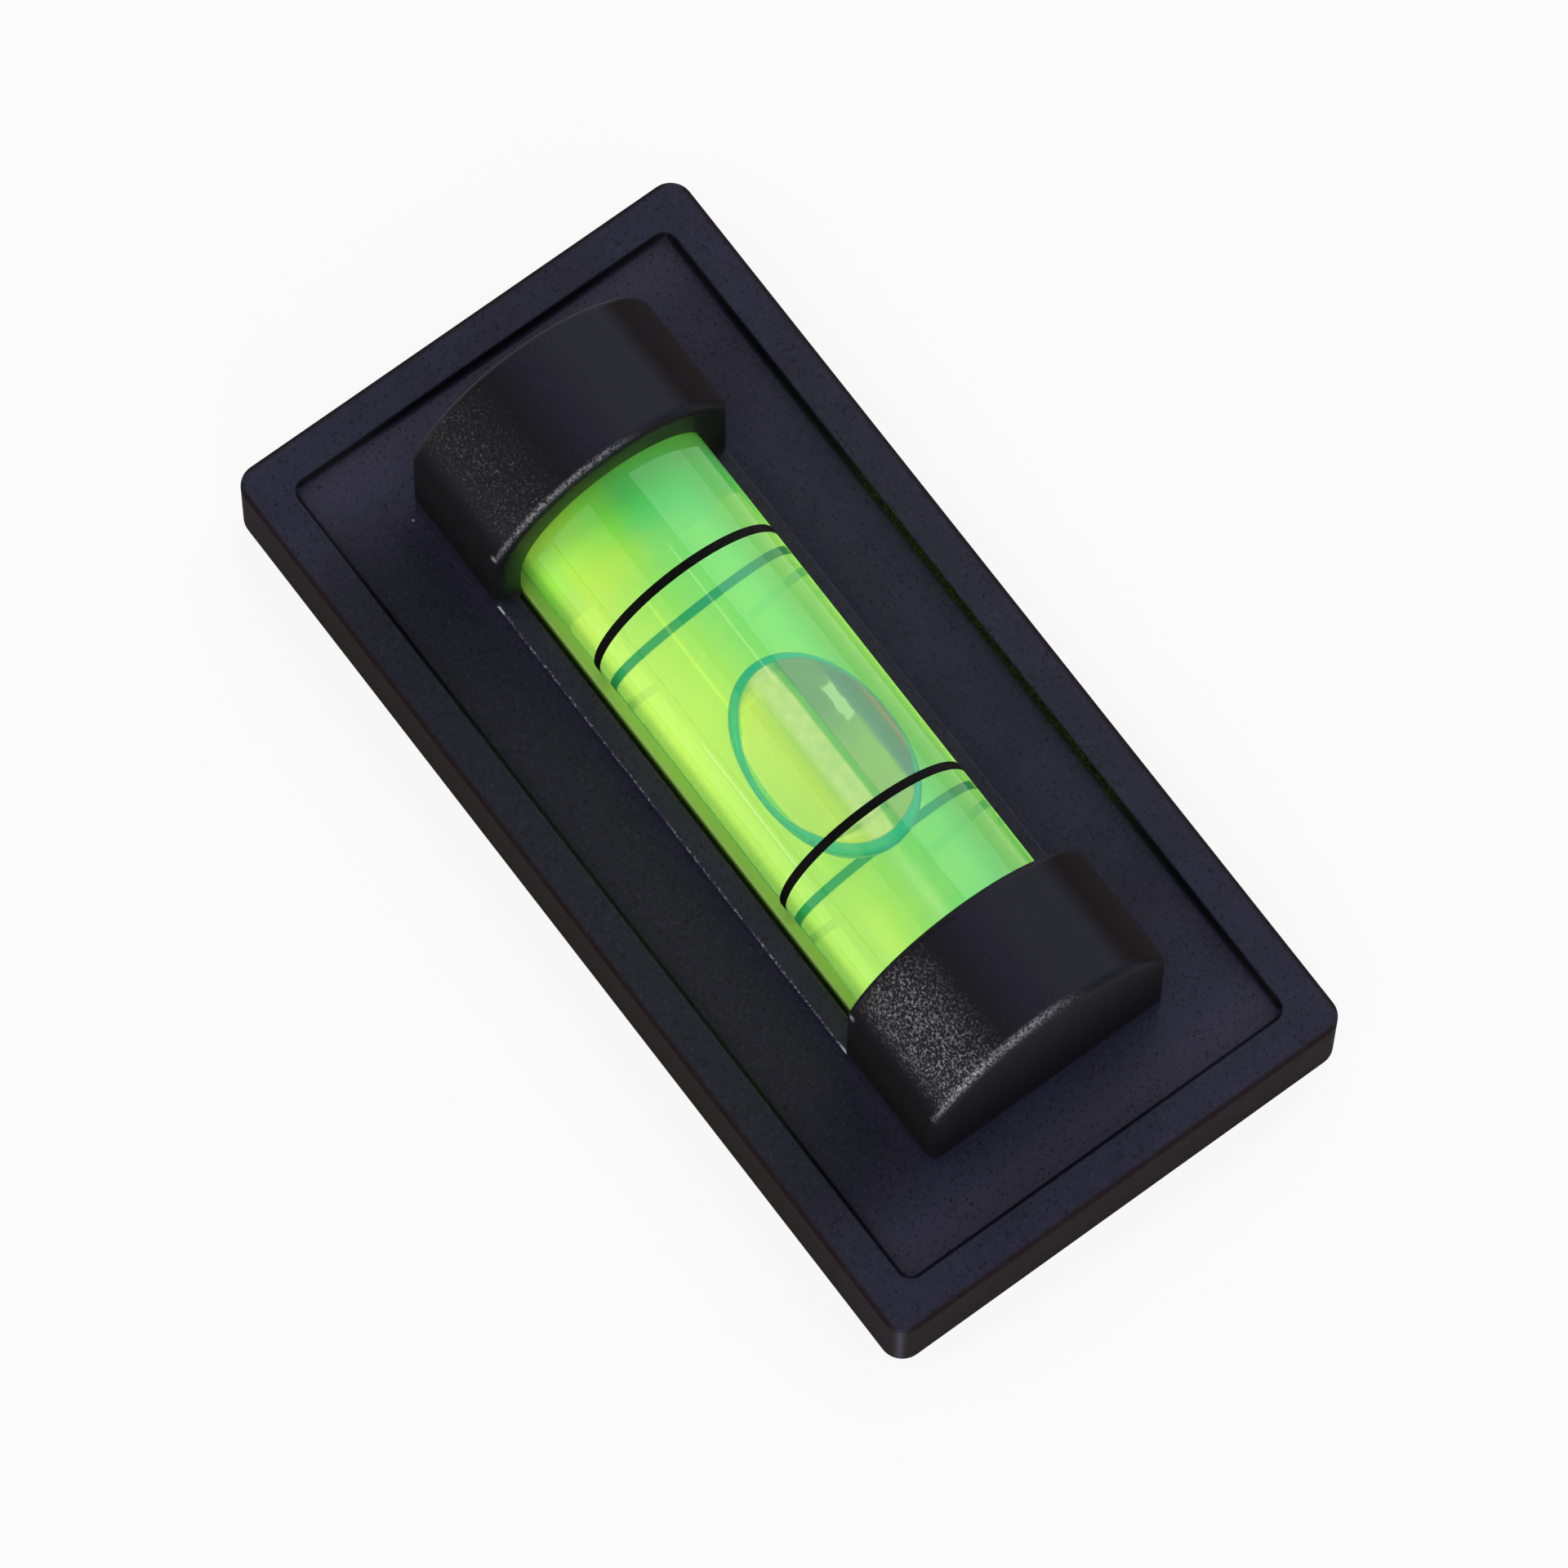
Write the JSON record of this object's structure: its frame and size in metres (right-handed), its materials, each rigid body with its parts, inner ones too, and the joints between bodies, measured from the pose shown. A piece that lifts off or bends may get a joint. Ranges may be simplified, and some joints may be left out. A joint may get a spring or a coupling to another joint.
{
  "type": "magnetic spirit level",
  "caption": "Small plate spirit level: a green bubble vial lies between arched end caps on a sunk panel with a raised rim, over a flat magnetic back.",
  "frame": {"origin": "centre of the flat magnetic back, on the back face", "axes": "+X along the vial, +Y across the plate, +Z out of the back towards the vial"},
  "size_m": [0.06, 0.0298, 0.0173],
  "materials": {
    "housing_plastic": "fine spark-eroded grain",
    "clear_acrylic": "polished clear acrylic",
    "green_liquid": "clear yellow-green liquid",
    "black_line": "black marking paint",
    "white_plastic": "plain white",
    "magnet_rubber": "dull rubber-bonded ferrite"
  },
  "bodies": {
    "root": {"housing": "housing_plastic", "vial_body": "clear_acrylic", "vial_plug": "clear_acrylic", "vial_liquid": "green_liquid", "vial_ring_left": "black_line", "vial_ring_right": "black_line", "vial_cradle": "white_plastic", "magnet_sheet": "magnet_rubber"}
  },
  "joints": []
}
